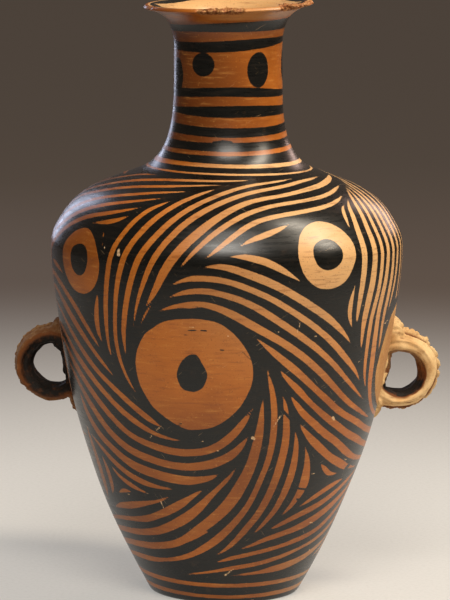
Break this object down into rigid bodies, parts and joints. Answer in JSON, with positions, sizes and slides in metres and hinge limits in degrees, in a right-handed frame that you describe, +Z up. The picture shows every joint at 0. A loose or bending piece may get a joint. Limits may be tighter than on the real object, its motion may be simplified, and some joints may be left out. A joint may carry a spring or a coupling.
{
  "type": "two-lugged painted pottery jar",
  "caption": "Tall-necked coil-built earthenware jar with strap lugs, a turned-out lip and black swirl painting over a burnished clay body.",
  "frame": {"origin": "middle of the flat resting face of the base", "axes": "+Z up out of the mouth, -Y towards the front, +X to the right of someone facing the front; the lugs stand out near +X and -X, a little behind the middle"},
  "size_m": [0.2638, 0.214, 0.36],
  "materials": {
    "painted_clay": "burnished orange earthenware, painted in black with reserved swirling bands, semi-gloss",
    "lug_clay": "bare buff earthenware, rough and unburnished",
    "base_clay": "bare orange earthenware, smoothed, worn at the foot"
  },
  "bodies": {
    "root": {"base_disc": "base_clay", "wall_coil_1": "painted_clay", "wall_coil_2": "painted_clay", "wall_coil_3": "painted_clay", "wall_coil_4": "painted_clay", "wall_coil_5": "painted_clay", "wall_coil_6": "painted_clay", "wall_coil_7": "painted_clay", "wall_coil_8": "painted_clay", "shoulder_coil_1": "painted_clay", "shoulder_coil_2": "painted_clay", "shoulder_coil_3": "painted_clay", "shoulder_coil_4": "painted_clay", "neck_collar": "painted_clay", "neck_coil_1": "painted_clay", "neck_coil_2": "painted_clay", "mouth_rim": "painted_clay", "right_lug_strap": "lug_clay", "right_lug_ridge": "lug_clay", "left_lug_strap": "lug_clay", "left_lug_ridge": "lug_clay"}
  },
  "joints": []
}
